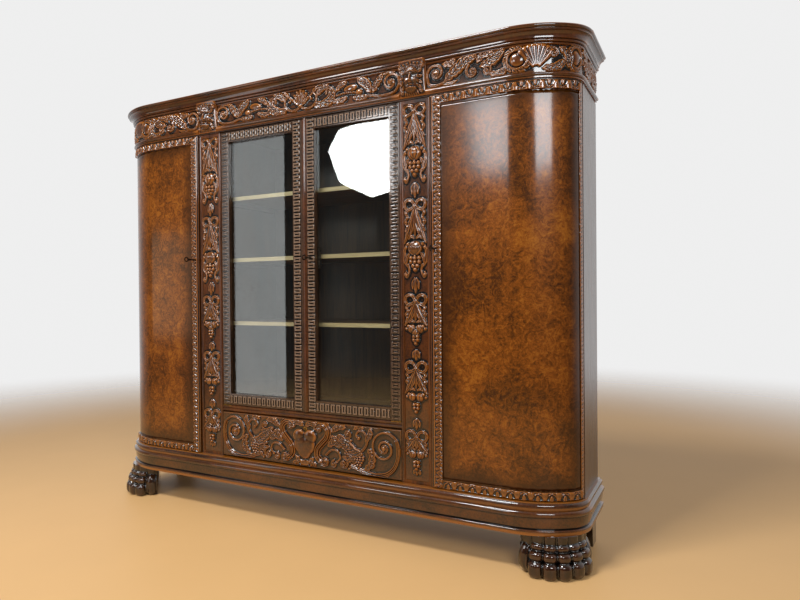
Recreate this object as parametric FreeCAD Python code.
"""A carved three-bay display cabinet on lion paws, with curved doors, glazed doors and a drawer.

Lengths are in millimetres and angles in degrees. X runs along the front, Y from front to back
and Z up from the floor. The pilasters' front face is at Y = 0 until the whole is centred.
"""

import FreeCAD
import Part
import math
import os

Vector = FreeCAD.Vector

# Carcass: outer width, depth behind the pilaster face, and the heights of its levels
carcass_width = 2274.0
carcass_back = 401.0
foot_height = 142.0
base_frame_height = 96.0
base_board_thickness = 18.0
carcass_inner_height = 1489.0
top_board_thickness = 20.0
frieze_height = 100.0
crown_height = 60.0
board_thickness = 20.0
panel_thickness = 8.0
frame_wall = 20.0
cut_over = 5.0

# Plan line of the front: two bends that meet, then a short flat up to the crease at the side
door_lead = 8.0
front_bend_radius = 320.0
front_bend_turn = 40.0
side_bend_radius = 92.0
side_bend_turn = 38.0
hinge_flat = 12.0

# Pilasters and the centre bay
pilaster_inner = 464.0
pilaster_width = 130.0
pilaster_thickness = 22.0
pilaster_margin = 14.0
pilaster_sink = 3.0
door_rail_height = 29.0
door_rail_bead = 4.0
drawer_space_height = 208.0
shelf_thickness = 18.0
shelf_setback = 56.0
shelf_play = 0.5
center_shelf_shares = (0.1974, 0.3882, 0.5843)
side_shelf_shares = (0.2955, 0.6246)
bearer_width = 14.0
bearer_height = 20.0
bearer_inset = 24.0
pin_fit = 0.05

# Doors
door_gap = 2.0
door_floor_gap = 3.0
curved_door_thickness = 26.0
curved_door_gap = 3.0
border_thickness = 3.0
border_bead = 10.0
border_width = 27.0
border_rail = 30.0
door_bend_clear = 1.5
glass_door_thickness = 24.0
stile_width = 46.0
meeting_stile_right = 60.0
meeting_stile_left = 52.0
bottom_rail_width = 50.0
top_rail_width = 47.0
stile_round = 4.0
meeting_line = -2.0
pane_thickness = 4.0
pane_depth = 16.0
pane_hold = 8.0
pane_play = 0.2
astragal_width = 21.0
astragal_height = 8.0
astragal_step_share = 0.18
astragal_shoulder_share = 0.4

# Pivot hinges
hinge_inset = 8.0
hinge_pin_radius = 4.0
hinge_pin_length = 12.0
hinge_plate_length = 46.0
hinge_plate_width = 14.0
hinge_plate_thickness = 3.0
hinge_collar_radius = 6.5
hinge_collar_play = 0.3
bar_sides = 10

# Locks and keys
lock_width = 62.0
lock_height = 84.0
lock_depth = 13.0
lock_wall = 2.0
lock_edge = 3.0
lock_play = 0.3
key_inset = 24.0
center_key_inset = 42.0
curved_key_share = 0.6098
center_key_share = 0.6004
key_radius = 3.0
key_reach = 46.0
key_bit_length = 10.0
key_bit_width = 2.6
key_bow_radius = 12.0
key_bow_rim = 4.0
key_bow_wire = 3.6
key_collar_radius = 5.0
key_collar_shares = (0.88, 0.30)
keyhole_radius = 4.5
bolt_height = 12.0
bolt_rise = 13.0
bolt_length = 42.0
bolt_thickness = 4.5
slide_bolt_radius = 4.0
slide_bolt_length = 110.0
slide_bolt_throw = 12.0
slide_bolt_inset = 22.0
slide_bolt_knob = 12.0
slide_knob_share = 0.5
slide_neck_share = 0.8

# Drawer
drawer_gap = 2.0
drawer_front_thickness = 22.0
drawer_side_thickness = 12.0
drawer_side_height = 177.0
drawer_length = 370.0
drawer_bottom_thickness = 6.0
drawer_bottom_rise = 6.0
drawer_side_inset = 6.0
runner_height = 6.7
runner_width = 24.0
runner_play = 0.3
drawer_key_drop = 40.0
drawer_lock_width = 60.0
drawer_lock_height = 46.0
drawer_lock_depth = 12.0
escutcheon_radius = 9.0
escutcheon_thickness = 1.5

# Crown, frieze and the mask brackets
frieze_sink = 2.0
crown_reach = 40.0
necking_drop = 15.0
necking_height = 22.0
necking_reach = 13.0
mask_width = 112.0
mask_top_rise = 21.0
mask_reach = 42.0
boss_rows = 6
boss_sides = 8
crown_board_thickness = 18.0
moulding_points = 4
crown_ledge = 10.0

# Base mouldings
base_board_reach = 18.0
base_reach = 26.0

# Feet
paw_center_in = 123.0
paw_center_back = 115.0
paw_radius = 126.0
paw_neck_height = 36.0
paw_groove_radius = 3.0
paw_toe_radius = 26.0
paw_toe_lean = 14.0
paw_toe_length = 126.0
paw_toe_root = 110.0
paw_toe_top = 114.0
paw_toe_count = 5
paw_toe_turn = -98.0
paw_side_cut = 86.0
paw_back_cut = 78.0
rear_foot_size = 82.0
rear_foot_taper = 12.0
rear_foot_inset = 8.0

# Shares of a moulding's reach and height, from its foot up: a flat's end, or an arc's middle and end
plain_shares = ((1, 0), (1, 1))
crown_shares = (
    (0.10, 0),
    ((0.16, 0.06), (0.10, 0.12)),
    (0.24, 0.12),
    ((0.33, 0.20), (0.24, 0.28)),
    (0.38, 0.33),
    ((0.47, 0.54), (0.74, 0.68)),
    (0.82, 0.68),
    (0.82, 0.74),
    ((0.855, 0.77), (0.82, 0.80)),
    (1, 0.82),
    (1, 1),
)
necking_shares = (
    (0.35, 0),
    (0.35, 0.22),
    ((0.85, 0.52), (0.35, 0.82)),
    (0.15, 0.82),
    (0.15, 1),
)
base_shares = (
    (0.78, 0),
    (0.78, 0.12),
    ((0.88, 0.16), (0.78, 0.20)),
    (0.55, 0.22),
    ((0.70, 0.44), (0.74, 0.65)),
    ((1, 0.765), (0.72, 0.875)),
    (0.55, 0.90),
    (0.55, 1),
)
base_board_shares = (
    (1, 0),
    (1, 0.15),
    ((0.86, 0.58), (0.56, 0.78)),
    (0.56, 1),
)
door_rail_shares = (
    (0, 0),
    ((1, 0.25), (0, 0.5)),
    ((1, 0.75), (0, 1)),
)
mask_side_shares = (
    (0.30, 0),
    ((0.62, 0.30), (0.52, 0.62)),
    ((0.70, 0.74), (0.80, 0.88)),
    (0.80, 1),
)

# Shares of the mask's width, reach and height: places of its carved masses, then their radii
mask_feature_shares = (
    (0, 0.62, 0.42, 0.11),
    (-0.22, 0.50, 0.40, 0.14),
    (0.22, 0.50, 0.40, 0.14),
    (0, 0.48, 0.18, 0.13),
    (-0.17, 0.60, 0.62, 0.10),
    (0.17, 0.60, 0.62, 0.10),
)

# Shares of a toe's length and radius for its knuckles, and of the paw's radius and height up its heel
knuckle_shares = ((0, 0.25, 0.6, 0.82), (0.25, 0.5, 0.66, 0.96), (0.5, 1, 0.72, 1.1))
knuckle_rows = 3
toe_sides = 8
heel_shares = (
    (0.86, 0),
    (0.98, 0.14),
    (1, 0.3),
    (0.9, 0.7),
    (0.94, 0.78),
    (1, 0.96),
    (1, 1),
)
paw_sides = 17
groove_sides = 6

# Levels worked out from the sizes above
base_frame_top = foot_height + base_frame_height
floor_level = base_frame_top + base_board_thickness
ceiling_level = floor_level + carcass_inner_height
center_shelf_drops = [carcass_inner_height * share for share in center_shelf_shares]
side_shelf_drops = [carcass_inner_height * share for share in side_shelf_shares]
frieze_bottom = ceiling_level + top_board_thickness
crown_bottom = frieze_bottom + frieze_height
crown_top = crown_bottom + crown_height
rail_bottom = floor_level + drawer_space_height
bay_floor = rail_bottom + door_rail_height
side_face = carcass_width / 2
inner_face = side_face - board_thickness
pilaster_outer = pilaster_inner + pilaster_width
partition_outer = pilaster_inner + board_thickness
back_inner = carcass_back - panel_thickness
door_top = ceiling_level - door_floor_gap
curved_door_bottom = floor_level + door_floor_gap
glass_door_bottom = bay_floor + door_floor_gap
mask_center = pilaster_inner + pilaster_width / 2
necking_bottom = frieze_bottom - necking_drop
mask_top = crown_bottom + mask_top_rise
curved_door_edge = pilaster_outer + curved_door_gap
right_door_edge = meeting_line + door_gap / 2
left_door_edge = meeting_line - door_gap / 2
curved_key_rise = carcass_inner_height * curved_key_share
center_key_rise = carcass_inner_height * center_key_share
curved_key = Vector(curved_door_edge + key_inset, 0, floor_level + curved_key_rise)
center_key = Vector(right_door_edge + center_key_inset, 0, floor_level + center_key_rise)
drawer_key = Vector(0, 0, rail_bottom - drawer_key_drop)
drawer_low = floor_level + runner_height + runner_play
drawer_outer = pilaster_inner - drawer_side_inset
drawer_inner = drawer_outer - drawer_side_thickness


def ahead(heading):
    """Unit step along a heading, measured from +X towards +Y."""
    angle = math.radians(heading)
    return Vector(math.cos(angle), math.sin(angle), 0)


def outward(heading):
    """Unit step to the right of a heading, out of the cabinet."""
    return ahead(heading - 90)


def plan_segments():
    """The smooth front of the right half: (start distance, length, start point, heading, radius)."""
    second_heading = front_bend_turn
    last_heading = front_bend_turn + side_bend_turn
    front_chord = outward(second_heading) - outward(0)
    side_chord = outward(last_heading) - outward(second_heading)
    flat_step = ahead(last_heading) * hinge_flat
    run = front_chord * front_bend_radius + side_chord * side_bend_radius + flat_step
    straight = side_face - run.x
    legs = (
        (straight, 0, 0),
        (math.radians(front_bend_turn) * front_bend_radius, 0, front_bend_radius),
        (math.radians(side_bend_turn) * side_bend_radius, second_heading, side_bend_radius),
        (hinge_flat, last_heading, 0),
    )
    segments = []
    distance = 0
    point = Vector(0, -door_lead, 0)
    for length, heading, radius in legs:
        segments.append((distance, length, point, heading, radius))
        distance += length
        point = spot_on(segments[-1], length, 0)
    return segments


def spot_on(segment, along, out):
    """Point at a distance along one segment, moved outward."""
    start, length, point, heading, radius = segment
    if not radius:
        return point + ahead(heading) * along + outward(heading) * out
    center = point - outward(heading) * radius
    turned = heading + math.degrees(along / radius)
    return center + outward(turned) * (radius + out)


plan = plan_segments()
plan_length = plan[-1][0] + plan[-1][1]
last_heading = plan[-1][3]
crease = spot_on(plan[-1], hinge_flat, 0)
mitre_turn = (90 - last_heading) / 2
hinge_point = spot_on(plan[-1], hinge_flat - hinge_inset, -hinge_inset)
side_front = hinge_point.y + hinge_inset + door_bend_clear
glass_hinge = Vector(pilaster_inner - door_gap - hinge_inset, hinge_inset, 0)


def spot(distance, out):
    """Point of the plan line at a distance from the middle, moved outward."""
    for segment in plan:
        if distance <= segment[0] + segment[1]:
            return spot_on(segment, distance - segment[0], out)
    return spot_on(plan[-1], distance - plan[-1][0], out)


def crease_spot(out):
    """Where the outward moved front and side lines cross."""
    return crease + outward(last_heading + mitre_turn) * (out / math.cos(math.radians(mitre_turn)))


def line(start, end):
    return Part.LineSegment(start, end).toShape()


def stretch(start, stop, out):
    """Edges of the plan line between two distances, moved outward."""
    edges = []
    for segment in plan:
        begin = max(start, segment[0])
        end = min(stop, segment[0] + segment[1])
        if end <= begin:
            continue
        first = spot_on(segment, begin - segment[0], out)
        last = spot_on(segment, end - segment[0], out)
        if segment[4]:
            middle = spot_on(segment, (begin + end) / 2 - segment[0], out)
            edges.append(Part.Arc(first, middle, last).toShape())
        else:
            edges.append(line(first, last))
    return edges


def raised(edges, bottom, height):
    """A prism on a closed outline of edges drawn at the floor."""
    wire = Part.Wire(Part.sortEdges(edges)[0])
    wire.translate(Vector(0, 0, bottom))
    return Part.Face(wire).extrude(Vector(0, 0, height))


def band(start, stop, inner, outer, bottom, height):
    """A curved slab that follows the plan line between two outward moves."""
    edges = stretch(start, stop, outer) + stretch(start, stop, inner)
    edges.append(line(spot(start, inner), spot(start, outer)))
    edges.append(line(spot(stop, inner), spot(stop, outer)))
    return raised(edges, bottom, height)


def plan_board(out, bottom, height):
    """A whole flat board whose front and sides follow the plan line."""
    corner = crease_spot(out)
    side = Vector(side_face + out, carcass_back, 0)
    edges = stretch(0, plan[-1][0], out)
    edges.append(line(spot(plan[-1][0], out), corner))
    edges.append(line(corner, side))
    edges.append(line(side, Vector(0, carcass_back, 0)))
    edges.append(line(Vector(0, carcass_back, 0), spot(0, out)))
    return both_halves(raised(edges, bottom, height))


def mirrored(shape):
    return shape.mirror(Vector(0, 0, 0), Vector(1, 0, 0))


def both_halves(shape):
    return shape.fuse(mirrored(shape)).removeSplitter()


def block(x, y, z, width, depth, height):
    """A box from its low corner."""
    return Part.makeBox(width, depth, height, Vector(x, y, z))


def rod(radius, length, base, direction):
    return Part.makeCylinder(radius, length, base, direction)


def many_sided(radius, length, base, direction):
    """A round bar or bore with flat sides."""
    bar = turned([(radius, 0), (radius, length)], bar_sides)
    bar.Placement = FreeCAD.Placement(base, FreeCAD.Rotation(Vector(0, 0, 1), direction))
    return bar


def section(profile, origin, heading):
    """A moulding's section standing on the plan: each step is (out, z) or an arc's (mid, end)."""
    across = outward(heading)

    def place(point):
        return origin + across * point[0] + Vector(0, 0, point[1])

    edges = []
    here = profile[0]
    for step in profile[1:] + [profile[0]]:
        if isinstance(step[0], tuple):
            edges += chords(place(here), place(step[0]), place(step[1]))
            here = step[1]
        else:
            edges.append(line(place(here), place(step)))
            here = step
    return Part.Face(Part.Wire(edges))


def chords(first, middle, last):
    """An arc through three points as a few flats, as a plane leaves a bead or a cove."""
    points = Part.Arc(first, middle, last).discretize(moulding_points)
    return [line(start, end) for start, end in zip(points, points[1:])]


def turned(rows, sides):
    """A turned form with flat sides from (radius, height) rows; a radius of 0 is a tip."""
    step = 2 * math.pi / sides
    rings = []
    for radius, height in rows:
        angles = [step * number for number in range(sides)]
        rings.append([Vector(radius * math.cos(a), radius * math.sin(a), height) for a in angles])
    faces = []
    for lower, upper in zip(rings, rings[1:]):
        for number in range(sides):
            following = (number + 1) % sides
            corners = [lower[number], lower[following], upper[following], upper[number]]
            if lower[0].distanceToPoint(lower[1]) == 0:
                corners = corners[1:]
            elif upper[0].distanceToPoint(upper[1]) == 0:
                corners = corners[:3]
            faces.append(Part.Face(Part.makePolygon(corners + corners[:1])))
    for ring in (rings[0], rings[-1]):
        if ring[0].distanceToPoint(ring[1]) > 0:
            faces.append(Part.Face(Part.makePolygon(ring + ring[:1])))
    return Part.Solid(Part.Shell(faces))


def half_space(point, heading, height):
    """Everything ahead of an upright plane, as far as the cabinet reaches."""
    reach = carcass_width
    slab = Part.makeBox(reach, 2 * reach, 2 * height, Vector(0, -reach, -height / 2))
    slab.rotate(Vector(0, 0, 0), Vector(0, 0, 1), heading)
    slab.translate(point)
    return slab


def moulded(profile):
    """A moulding that runs round the front and both sides, mitred at the creases."""
    pieces = []
    for start, length, point, heading, radius in plan[:-1]:
        face = section(profile, point, heading)
        if radius:
            center = point - outward(heading) * radius
            turn = math.degrees(length / radius)
            pieces.append(face.revolve(center, Vector(0, 0, 1), turn))
        else:
            pieces.append(face.extrude(ahead(heading) * length))
    start, length, point, heading, radius = plan[-1]
    beyond = half_space(crease, last_heading + mitre_turn, crown_top)
    flat = section(profile, point, heading).extrude(ahead(heading) * 2 * length)
    pieces.append(flat.cut(beyond))
    side_run = carcass_back - crease.y + length
    side = section(profile, crease - ahead(90) * length, 90).extrude(ahead(90) * side_run)
    pieces.append(side.common(beyond))
    half = pieces[0].fuse(pieces[1:])
    return both_halves(half)


def outline(shares, reach, low, height, back):
    """A moulding's outline from its shares, closed by an upright back."""

    def place(share):
        return (reach * share[0], low + height * share[1])

    steps = [(back, low)]
    for share in shares:
        steps.append(tuple(map(place, share)) if isinstance(share[0], tuple) else place(share))
    return steps + [(back, low + height)]


def mask_space():
    """The room that a mask bracket takes in front of the frieze board."""
    depth = mask_reach + door_lead + cut_over
    left = mask_center - mask_width / 2
    height = mask_top - necking_bottom
    return block(left, -door_lead - depth, necking_bottom, mask_width, depth + frieze_sink, height)


def hinge_plate(pivot, level, up):
    """A brass plate let into a board, its riveted pin and, below a door, the washer it turns on."""
    plate_low = level - hinge_plate_thickness if up else level
    plate = block(
        pivot.x + hinge_plate_width / 2 - hinge_plate_length,
        pivot.y - hinge_plate_width / 2,
        plate_low,
        hinge_plate_length,
        hinge_plate_width,
        hinge_plate_thickness,
    )
    start = Vector(pivot.x, pivot.y, level)
    direction = Vector(0, 0, 1 if up else -1)
    pin = rod(hinge_pin_radius, door_floor_gap + hinge_pin_length, start, direction)
    if not up:
        return [plate, pin]
    washer_height = door_floor_gap - hinge_collar_play
    washer = many_sided(hinge_collar_radius, washer_height, start, Vector(0, 0, 1))
    bore = many_sided(hinge_pin_radius + hinge_collar_play, washer_height, start, Vector(0, 0, 1))
    return [plate, pin, washer.cut(bore)]


def hinge_plates():
    """The plates of the four doors, right ones first."""
    right = (
        hinge_plate(hinge_point, floor_level, True)
        + hinge_plate(hinge_point, ceiling_level, False)
        + hinge_plate(glass_hinge, bay_floor, True)
        + hinge_plate(glass_hinge, ceiling_level, False)
    )
    return right + [mirrored(plate) for plate in right]


def pin_hole(pivot, level, up):
    """The bore in a door's end that the hinge pin turns in."""
    direction = Vector(0, 0, 1 if up else -1)
    start = Vector(pivot.x, pivot.y, level) - direction
    depth = hinge_pin_length + hinge_plate_thickness
    return rod(hinge_pin_radius + pin_fit, depth, start, direction)


def curved_door_slab():
    """The right curved door's whole thickness, its hinge end rounded about the pin."""
    low = curved_door_bottom
    height = door_top - low
    slab = band(curved_door_edge, plan_length, -curved_door_thickness, 0, low, height)
    end = hinge_point.y + hinge_inset
    slab = slab.cut(block(0, end, low, carcass_width, carcass_back, height))
    corner = band(plan_length - hinge_inset, plan_length, -hinge_inset, cut_over, low, height)
    keep = rod(hinge_inset, height, hinge_point + Vector(0, 0, low), Vector(0, 0, 1))
    return slab.cut(corner.cut(keep))


def curved_door():
    """The right curved door's core, with its pin bores and keyhole."""
    low = curved_door_bottom
    height = door_top - low
    room = band(pilaster_outer, plan_length, -curved_door_thickness, -border_thickness, low, height)
    core = curved_door_slab().common(room)
    core = core.cut(pin_hole(hinge_point, curved_door_bottom, True))
    core = core.cut(pin_hole(hinge_point, door_top, False))
    return core.cut(keyhole(curved_key, -door_lead, curved_door_thickness))


def curved_door_border():
    """The raised frame of carved strips round the right curved door's face."""
    height = door_top - curved_door_bottom
    frame = curved_door_slab().common(
        band(pilaster_outer, plan_length, -border_thickness, 0, curved_door_bottom, height)
    )
    window = band(
        curved_door_edge + border_bead + border_width,
        plan_length - border_width,
        -border_thickness - cut_over,
        cut_over,
        curved_door_bottom + border_rail,
        height - 2 * border_rail,
    )
    return frame.cut(window).cut(keyhole(curved_key, -door_lead, curved_door_thickness))


def keyhole(center, face, depth):
    """A round hole with a slot below it for the key's bit."""
    start = Vector(center.x, face - cut_over, center.z)
    hole = many_sided(keyhole_radius, depth + 2 * cut_over, start, Vector(0, 1, 0))
    slot_width = key_bit_width + 2 * lock_play
    slot = block(
        center.x - slot_width / 2,
        face - cut_over,
        center.z - key_bit_length - lock_play,
        slot_width,
        depth + 2 * cut_over,
        key_bit_length + lock_play,
    )
    return hole.fuse(slot)


def lock_case(edge, key, face):
    """A rim lock's hollow case on a door's inner face, its cover bored for the key's tip."""
    case = block(
        edge + lock_edge, face, key.z - lock_height / 2, lock_width, lock_depth, lock_height
    )
    hollow = block(
        edge + lock_edge + lock_wall,
        face + lock_wall,
        key.z - lock_height / 2 + lock_wall,
        lock_width - 2 * lock_wall,
        lock_depth - 2 * lock_wall,
        lock_height - 2 * lock_wall,
    )
    mouth = block(
        edge,
        face + lock_depth - lock_wall - bolt_thickness - 2 * lock_play,
        key.z + bolt_rise - lock_play,
        lock_edge + lock_wall + cut_over,
        bolt_thickness + 2 * lock_play,
        bolt_height + 2 * lock_play,
    )
    bore = rod(key_radius + pin_fit, lock_depth + cut_over, Vector(key.x, face, key.z), Vector(0, 1, 0))
    slot_width = key_bit_width + 2 * lock_play
    slot = block(
        key.x - slot_width / 2,
        face - cut_over,
        key.z - key_bit_length - lock_play,
        slot_width,
        cut_over + lock_wall + lock_play,
        key_bit_length + lock_play,
    )
    return case.cut(hollow).cut(mouth).cut(bore).cut(slot)


def lock_bolt(edge, key, face):
    """The flat bolt, drawn back level with the door's edge."""
    return block(
        edge + door_gap / 2,
        face + lock_depth - lock_wall - bolt_thickness - lock_play,
        key.z + bolt_rise,
        bolt_length,
        bolt_thickness,
        bolt_height,
    )


def key_piece(key, front, face):
    """A key with a ring bow, two collars, a round shank and a bit that hangs down in the case."""
    tip = face + lock_depth
    inward = Vector(0, 1, 0)
    fore = many_sided(key_radius, key_reach, Vector(key.x, front - key_reach, key.z), inward)
    aft = rod(key_radius, tip - front, Vector(key.x, front, key.z), inward)
    bow_front = front - key_reach - key_bow_radius + key_bow_wire
    bow_base = Vector(key.x - key_bow_wire / 2, bow_front, key.z)
    across = Vector(1, 0, 0)
    bow = many_sided(key_bow_radius, key_bow_wire, bow_base, across)
    bow = bow.cut(many_sided(key_bow_radius - key_bow_rim, key_bow_wire, bow_base, across))
    collars = []
    for share in key_collar_shares:
        base = Vector(key.x, front - key_reach * share, key.z)
        collars.append(many_sided(key_collar_radius, key_bow_wire, base, inward))
    bit = block(
        key.x - key_bit_width / 2,
        face + lock_wall + lock_play,
        key.z - key_bit_length,
        key_bit_width,
        lock_depth - 2 * lock_wall - bolt_thickness - 3 * lock_play,
        key_bit_length,
    )
    return fore.fuse([aft, bow, bit] + collars)


def glass_door(inner, meeting_stile):
    """A glazed door's frame, hinged at its right, with its pane groove and pin bores."""
    outer = pilaster_inner - door_gap
    height = door_top - glass_door_bottom
    frame = block(inner, 0, glass_door_bottom, outer - inner, glass_door_thickness, height)
    long_edges = [
        edge
        for edge in frame.Edges
        if edge.BoundBox.ZLength > stile_width
        and edge.BoundBox.XMin > outer - stile_round
        and edge.BoundBox.YMax < stile_round
    ]
    frame = frame.makeFillet(stile_round, long_edges)
    sight_x = inner + meeting_stile
    sight_z = glass_door_bottom + bottom_rail_width
    sight_width = outer - stile_width - sight_x
    sight_height = door_top - top_rail_width - sight_z
    sight = block(
        sight_x, -cut_over, sight_z, sight_width, glass_door_thickness + 2 * cut_over, sight_height
    )
    groove = block(
        sight_x - pane_hold,
        pane_depth,
        sight_z - pane_hold,
        sight_width + 2 * pane_hold,
        pane_thickness + pane_play,
        sight_height + 2 * pane_hold,
    )
    frame = frame.cut(sight).cut(groove)
    frame = frame.cut(pin_hole(glass_hinge, glass_door_bottom, True))
    return frame.cut(pin_hole(glass_hinge, door_top, False))


def glass_pane(inner, meeting_stile):
    """The pane that stands in the groove of a glazed door."""
    outer = pilaster_inner - door_gap
    hold = pane_hold - pane_play
    sight_z = glass_door_bottom + bottom_rail_width
    return block(
        inner + meeting_stile - hold,
        pane_depth + pane_play / 2,
        sight_z - hold,
        outer - inner - meeting_stile - stile_width + 2 * hold,
        pane_thickness,
        door_top - top_rail_width - sight_z + 2 * hold,
    )


def astragal():
    """The rounded strip on the right glazed door's meeting edge."""
    left = right_door_edge
    side = astragal_width / 2 - astragal_step_share * astragal_width
    middle = left + astragal_width / 2
    low = glass_door_bottom
    shoulder = astragal_height * astragal_shoulder_share
    points = (
        Vector(left, 0, low),
        Vector(left, -shoulder, low),
        Vector(middle - side, -shoulder, low),
        Vector(middle, -astragal_height, low),
        Vector(middle + side, -shoulder, low),
        Vector(left + astragal_width, -shoulder, low),
        Vector(left + astragal_width, 0, low),
    )
    edges = [
        line(points[0], points[1]),
        line(points[1], points[2]),
        Part.Arc(points[2], points[3], points[4]).toShape(),
        line(points[4], points[5]),
        line(points[5], points[6]),
        line(points[6], points[0]),
    ]
    return Part.Face(Part.Wire(edges)).extrude(Vector(0, 0, door_top - low))


def slide_bolt(level, up):
    """A surface bolt on the left glazed door: a round bar with a small knob."""
    x = left_door_edge - slide_bolt_inset
    y = glass_door_thickness + slide_bolt_radius
    end = Vector(x, y, level)
    direction = Vector(0, 0, 1 if up else -1)
    bar_start = end - direction * slide_bolt_length
    bar = many_sided(slide_bolt_radius, slide_bolt_length, bar_start, direction)
    neck = slide_bolt_radius * slide_neck_share
    knob_base = end - direction * slide_bolt_length * slide_knob_share
    return bar.fuse(many_sided(neck, slide_bolt_knob, knob_base, Vector(0, 1, 0)))


def slide_bolt_bore(level, up):
    """The bore that a surface bolt shoots into."""
    x = left_door_edge - slide_bolt_inset
    y = glass_door_thickness + slide_bolt_radius
    direction = Vector(0, 0, 1 if up else -1)
    return many_sided(
        slide_bolt_radius + lock_play, slide_bolt_throw, Vector(x, y, level), direction
    )


def drawer_front():
    half = pilaster_inner - drawer_gap
    height = rail_bottom - door_floor_gap - drawer_low
    board = block(-half, 0, drawer_low, 2 * half, drawer_front_thickness, height)
    return board.cut(keyhole(drawer_key, 0, drawer_front_thickness))


def drawer_sides():
    """Both sides of the drawer's box."""
    length = drawer_length - drawer_front_thickness
    side = block(
        drawer_inner,
        drawer_front_thickness,
        drawer_low,
        drawer_side_thickness,
        length,
        drawer_side_height,
    )
    return [side, mirrored(side)]


def drawer_bottom():
    low = drawer_low + drawer_bottom_rise
    length = drawer_length - drawer_front_thickness
    width = 2 * drawer_inner
    return block(-drawer_inner, drawer_front_thickness, low, width, length, drawer_bottom_thickness)


def drawer_back():
    rise = drawer_bottom_rise + drawer_bottom_thickness
    back = drawer_length - drawer_side_thickness
    width = 2 * drawer_inner
    height = drawer_side_height - rise
    return block(-drawer_inner, back, drawer_low + rise, width, drawer_side_thickness, height)


def drawer_lock():
    """The drawer's closed lock behind the front, and the keyhole plate before it."""
    case = block(
        -drawer_lock_width / 2,
        drawer_front_thickness,
        drawer_key.z - drawer_lock_height / 2,
        drawer_lock_width,
        drawer_lock_depth,
        drawer_lock_height,
    )
    plate_base = Vector(0, -escutcheon_thickness, drawer_key.z)
    plate = many_sided(escutcheon_radius, escutcheon_thickness, plate_base, Vector(0, 1, 0))
    tail = block(
        -escutcheon_radius / 2,
        -escutcheon_thickness,
        drawer_key.z - key_bit_length - escutcheon_radius / 2,
        escutcheon_radius,
        escutcheon_thickness,
        key_bit_length + escutcheon_radius / 2,
    )
    hole = keyhole(drawer_key, -escutcheon_thickness, escutcheon_thickness)
    return [case, plate.fuse(tail).cut(hole)]


def drawer_runners():
    runner = block(
        pilaster_inner - runner_width,
        pilaster_thickness,
        floor_level,
        runner_width,
        back_inner - pilaster_thickness,
        runner_height,
    )
    return [runner, mirrored(runner)]


def pilaster():
    """A pilaster board with its sunk field."""
    height = ceiling_level - floor_level
    board = block(pilaster_inner, 0, floor_level, pilaster_width, pilaster_thickness, height)
    field = block(
        pilaster_inner + pilaster_margin,
        -cut_over,
        floor_level + pilaster_margin,
        pilaster_width - 2 * pilaster_margin,
        cut_over + pilaster_sink,
        height - 2 * pilaster_margin,
    )
    return board.cut(field)


def side_panel():
    height = ceiling_level - floor_level
    length = carcass_back - side_front
    return block(inner_face, side_front, floor_level, board_thickness, length, height)


def partition():
    height = ceiling_level - floor_level
    length = back_inner - pilaster_thickness
    return block(pilaster_inner, pilaster_thickness, floor_level, board_thickness, length, height)


def back_panel(left, right):
    height = ceiling_level - floor_level
    return block(left, back_inner, floor_level, right - left, panel_thickness, height)


def center_shelf(top):
    half = pilaster_inner - shelf_play
    front = shelf_setback - door_lead
    length = back_inner - shelf_play - front
    return block(-half, front, top - shelf_thickness, 2 * half, length, shelf_thickness)


def side_shelf(top):
    """A side bay's shelf, its front curved like the door before it."""
    left = partition_outer + shelf_play
    right = inner_face - shelf_play
    back = back_inner - shelf_play
    bend_end = spot(plan_length, -shelf_setback)
    corners = (
        bend_end,
        Vector(right, bend_end.y, 0),
        Vector(right, back, 0),
        Vector(left, back, 0),
        spot(left, -shelf_setback),
    )
    edges = stretch(left, plan_length, -shelf_setback)
    edges += [line(first, second) for first, second in zip(corners, corners[1:])]
    return raised(edges, top - shelf_thickness, shelf_thickness)


def shelf_bearer(wall, side, front, top):
    """A batten on a wall that carries one end of a shelf; side is the way it stands out."""
    left = wall if side > 0 else wall - bearer_width
    height = top - shelf_thickness - bearer_height
    return block(left, front, height, bearer_width, back_inner - bearer_inset - front, bearer_height)


def shelf_bearers():
    """The battens of every shelf, the right half's first."""
    front = shelf_setback - door_lead + bearer_inset
    side_start = crease.y + bearer_inset
    right = []
    for drop in center_shelf_drops:
        right.append(shelf_bearer(pilaster_inner, -1, front, ceiling_level - drop))
    for drop in side_shelf_drops:
        right.append(shelf_bearer(partition_outer, 1, front, ceiling_level - drop))
        right.append(shelf_bearer(inner_face, -1, side_start, ceiling_level - drop))
    return right + [mirrored(bearer) for bearer in right]


def door_rail():
    """The rail between the drawer and the glazed doors, with two half-round beads."""
    depth = pilaster_thickness - door_rail_bead
    rows = outline(door_rail_shares, door_rail_bead, rail_bottom, door_rail_height, -depth)
    face = section(rows, Vector(-pilaster_inner, door_rail_bead, 0), 0)
    return face.extrude(Vector(2 * pilaster_inner, 0, 0))


def dust_board():
    length = back_inner - pilaster_thickness
    return block(
        -pilaster_inner,
        pilaster_thickness,
        bay_floor - shelf_thickness,
        2 * pilaster_inner,
        length,
        shelf_thickness,
    )


def rear_rails():
    """Two like rails that close the base frame and carry the crown's board."""
    rails = []
    for level in (foot_height, frieze_bottom):
        rails.append(
            block(
                -side_face + frame_wall,
                carcass_back - board_thickness,
                level,
                2 * (side_face - frame_wall),
                board_thickness,
                base_frame_height,
            )
        )
    return rails


def ball(radius, center):
    """A carved boss with flat sides, lying with its axis to the front."""
    angles = [math.pi * (number / boss_rows - 1 / 2) for number in range(boss_rows + 1)]
    rows = [(radius * math.cos(angle), radius * math.sin(angle)) for angle in angles]
    rows[0] = (0, -radius)
    rows[-1] = (0, radius)
    boss = turned(rows, boss_sides)
    boss.rotate(Vector(0, 0, 0), Vector(1, 0, 0), 90)
    boss.translate(center)
    return boss


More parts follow.
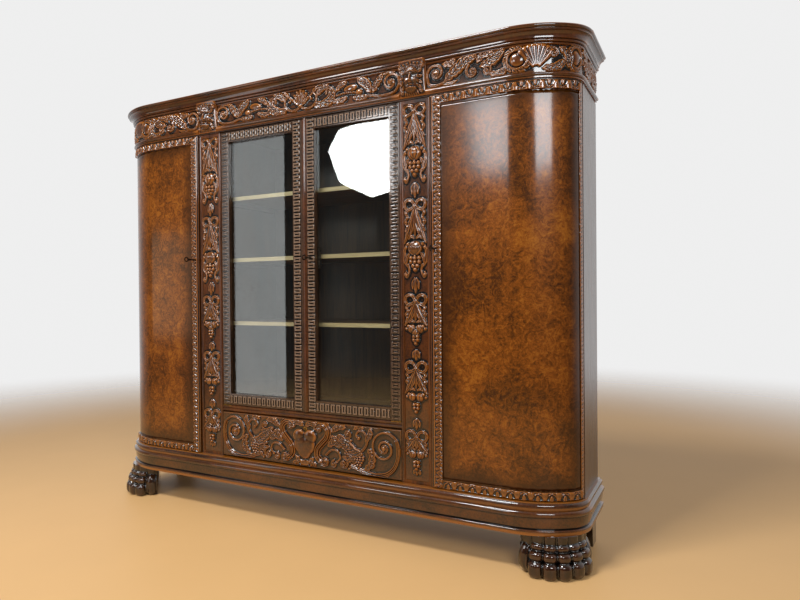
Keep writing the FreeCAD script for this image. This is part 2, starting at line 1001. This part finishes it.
def mask_bracket():
    """A mask bracket: a console that leans forward, with a brow, cheeks, nose and a leafy crest."""
    back = -door_lead + frieze_sink
    height = mask_top - necking_bottom
    left = mask_center - mask_width / 2
    rows = outline(mask_side_shares, mask_reach, necking_bottom, height, 0)
    body = section(rows, Vector(left, back, 0), 0).extrude(Vector(mask_width, 0, 0))
    room = block(left, back - mask_reach, necking_bottom, mask_width, mask_reach, height)
    features = []
    for x_share, out_share, z_share, radius_share in mask_feature_shares:
        x = mask_center + mask_width * x_share
        y = back - mask_reach * out_share
        center = Vector(x, y, necking_bottom + height * z_share)
        features.append(ball(mask_width * radius_share, center).common(room))
    return body.fuse(features).removeSplitter()


def paw_toe(angle):
    """One toe: a spindle with three knuckles, leaning from the ankle down to its tip."""
    rows = []
    for start, end, waist, swell in knuckle_shares:
        for number in range(knuckle_rows):
            along = number / knuckle_rows
            bulge = waist + (swell - waist) * math.sin(math.pi * along)
            rows.append((paw_toe_radius * bulge, paw_toe_length * (start + (end - start) * along)))
    rows.append((0, paw_toe_length))
    toe = turned(rows, toe_sides)
    toe.rotate(Vector(0, 0, 0), Vector(0, 1, 0), 180 - paw_toe_lean)
    toe.translate(Vector(paw_toe_root, 0, paw_toe_top))
    toe.rotate(Vector(0, 0, 0), Vector(0, 0, 1), angle)
    toe.translate(Vector(side_face - paw_center_in, paw_center_back, 0))
    return toe


def paw_foot():
    """The right paw: a fluted neck and a heel with five toes, cut flat below, inside and behind."""
    center = Vector(side_face - paw_center_in, paw_center_back, 0)
    step = 360 / paw_sides
    heel = turned([(paw_radius * out, foot_height * up) for out, up in heel_shares], paw_sides)
    heel.rotate(Vector(0, 0, 0), Vector(0, 0, 1), paw_toe_turn + step / 2)
    heel.translate(center)
    toes = [paw_toe(paw_toe_turn + step * number) for number in range(paw_toe_count)]
    room = block(
        center.x - paw_side_cut,
        center.y - carcass_back,
        0,
        carcass_back,
        carcass_back + paw_back_cut,
        foot_height,
    )
    paw = heel.fuse(toes).common(room)
    grooves = []
    for number in range(paw_toe_count + 1):
        corner = ahead(paw_toe_turn + step * (number - 1 / 2)) * paw_radius
        groove = turned([(paw_groove_radius, 0), (paw_groove_radius, foot_height)], groove_sides)
        groove.translate(center + corner + Vector(0, 0, foot_height - paw_neck_height))
        grooves.append(groove)
    return paw.cut(grooves).removeSplitter()


def rear_foot():
    """A plain block foot, a little narrower at the floor."""
    outer = side_face - rear_foot_inset
    inner = outer - rear_foot_size
    back = carcass_back
    front = back - rear_foot_size
    top = [Vector(inner, front, foot_height), Vector(outer, front, foot_height)]
    top += [Vector(outer, back, foot_height), Vector(inner, back, foot_height), top[0]]
    low = [Vector(inner + rear_foot_taper, front + rear_foot_taper, 0)]
    low += [Vector(outer, front + rear_foot_taper, 0), Vector(outer, back, 0)]
    low += [Vector(inner + rear_foot_taper, back, 0), low[0]]
    return Part.makeLoft([Part.makePolygon(low), Part.makePolygon(top)], True, True)


def base_parts():
    """The base frame, its board, the feet and the rear rails."""
    low = base_frame_top
    edge = outline(base_board_shares, base_board_reach, low, base_board_thickness, -frame_wall)
    board = plan_board(-frame_wall, low, base_board_thickness)
    board = board.fuse(moulded(edge)).removeSplitter()
    frame = outline(base_shares, base_reach, foot_height, base_frame_height, -frame_wall)
    foot = paw_foot()
    block_foot = rear_foot()
    return {
        "base_moulding": moulded(frame),
        "base_board": board.cut(hinge_plates()),
        "rear_rails": rear_rails(),
        "paw_foot_right": foot,
        "paw_foot_left": mirrored(foot),
        "rear_foot_right": block_foot,
        "rear_foot_left": mirrored(block_foot),
    }


def carcass_parts():
    """Walls, top board, backs, pilasters and the rail and board above the drawer."""
    plates = hinge_plates()
    wall = side_panel()
    inner_wall = partition()
    middle = (pilaster_inner + partition_outer) / 2
    right_back = back_panel(middle, inner_face)
    top_board = plan_board(-frieze_sink, ceiling_level, top_board_thickness)
    column = pilaster()
    bolt_bores = [slide_bolt_bore(ceiling_level, True), slide_bolt_bore(bay_floor, False)]
    return {
        "side_panel_right": wall,
        "side_panel_left": mirrored(wall),
        "partition_right": inner_wall,
        "partition_left": mirrored(inner_wall),
        "back_panel_right": right_back,
        "back_panel_left": mirrored(right_back),
        "back_panel_center": back_panel(-middle, middle),
        "top_board": top_board.cut(plates + bolt_bores),
        "pilaster_right": column,
        "pilaster_left": mirrored(column),
        "door_rail": door_rail().cut(plates),
        "dust_board": dust_board().cut(bolt_bores),
        "hinge_plates": plates,
    }


def shelf_parts():
    """Shelves of the three bays, numbered from the top, and their bearers."""
    parts = {"shelf_bearers": shelf_bearers()}
    for number, drop in enumerate(center_shelf_drops, 1):
        parts[f"shelf_center_{number}"] = center_shelf(ceiling_level - drop)
    for number, drop in enumerate(side_shelf_drops, 1):
        shelf = side_shelf(ceiling_level - drop)
        parts[f"shelf_right_{number}"] = shelf
        parts[f"shelf_left_{number}"] = mirrored(shelf)
    return parts


def crown_parts():
    """The frieze, its small moulding, the crown and the two mask brackets."""
    blocks = [mask_space()]
    blocks.append(mirrored(blocks[0]))
    bracket = mask_bracket()
    inside = -frame_wall + crown_ledge
    frieze = outline(plain_shares, -frieze_sink, frieze_bottom, frieze_height, -frame_wall)
    necking = outline(necking_shares, necking_reach, necking_bottom, necking_height, -frieze_sink)
    crown = outline(crown_shares, crown_reach, crown_bottom, crown_height, inside)
    return {
        "frieze_board": moulded(frieze),
        "necking_moulding": moulded(necking).cut(blocks),
        "crown_moulding": moulded(crown).cut(blocks),
        "crown_board": plan_board(inside, crown_bottom, crown_board_thickness),
        "mask_bracket_right": bracket,
        "mask_bracket_left": mirrored(bracket),
    }


def curved_door_parts():
    """Both curved doors with their borders, locks, bolts and keys."""
    edge = curved_door_edge
    face = curved_door_thickness - door_lead
    right = {
        "curved_door": curved_door(),
        "door_border": curved_door_border(),
        "door_lock": lock_case(edge, curved_key, face),
        "lock_bolt": lock_bolt(edge, curved_key, face),
        "key": key_piece(curved_key, -door_lead, face),
    }
    parts = {}
    for name, shape in right.items():
        parts[f"{name}_right"] = shape
        parts[f"{name}_left"] = mirrored(shape)
    return parts


def glass_door_parts():
    """Both glazed doors with their panes, the astragal, the lock and the surface bolts."""
    edge = right_door_edge
    left_edge = -left_door_edge
    face = glass_door_thickness
    return {
        "glass_door_right": glass_door(edge, meeting_stile_right).cut(keyhole(center_key, 0, face)),
        "glass_door_left": mirrored(glass_door(left_edge, meeting_stile_left)),
        "glass_pane_right": glass_pane(edge, meeting_stile_right),
        "glass_pane_left": mirrored(glass_pane(left_edge, meeting_stile_left)),
        "astragal": astragal(),
        "glass_door_lock": lock_case(edge, center_key, face),
        "lock_bolt_center": lock_bolt(edge, center_key, face),
        "key_center": key_piece(center_key, 0, face),
        "slide_bolt_upper": slide_bolt(door_top, True),
        "slide_bolt_lower": slide_bolt(glass_door_bottom, False),
    }


def drawer_parts():
    """The drawer's boards, its lock and the runners that carry it."""
    return {
        "drawer_front": drawer_front(),
        "drawer_sides": drawer_sides(),
        "drawer_back": drawer_back(),
        "drawer_bottom": drawer_bottom(),
        "drawer_lock": drawer_lock(),
        "drawer_runners": drawer_runners(),
    }


def cabinet():
    """Every piece of the cabinet by name."""
    parts = {}
    for group in (
        base_parts,
        carcass_parts,
        shelf_parts,
        crown_parts,
        curved_door_parts,
        glass_door_parts,
        drawer_parts,
    ):
        parts.update(group())
    return {
        name: Part.makeCompound(shape) if isinstance(shape, list) else shape
        for name, shape in parts.items()
    }


def main():
    os.makedirs("parts", exist_ok=True)
    parts = cabinet()
    whole = Part.makeCompound(list(parts.values())).BoundBox
    shift = Vector(0, -(whole.YMin + whole.YMax) / 2, 0)
    for name, shape in parts.items():
        shape.translate(shift)
        shape.exportStep(f"parts/{name}.step")
    print("pieces", len(parts), "centred by", round(shift.y, 3))


main()
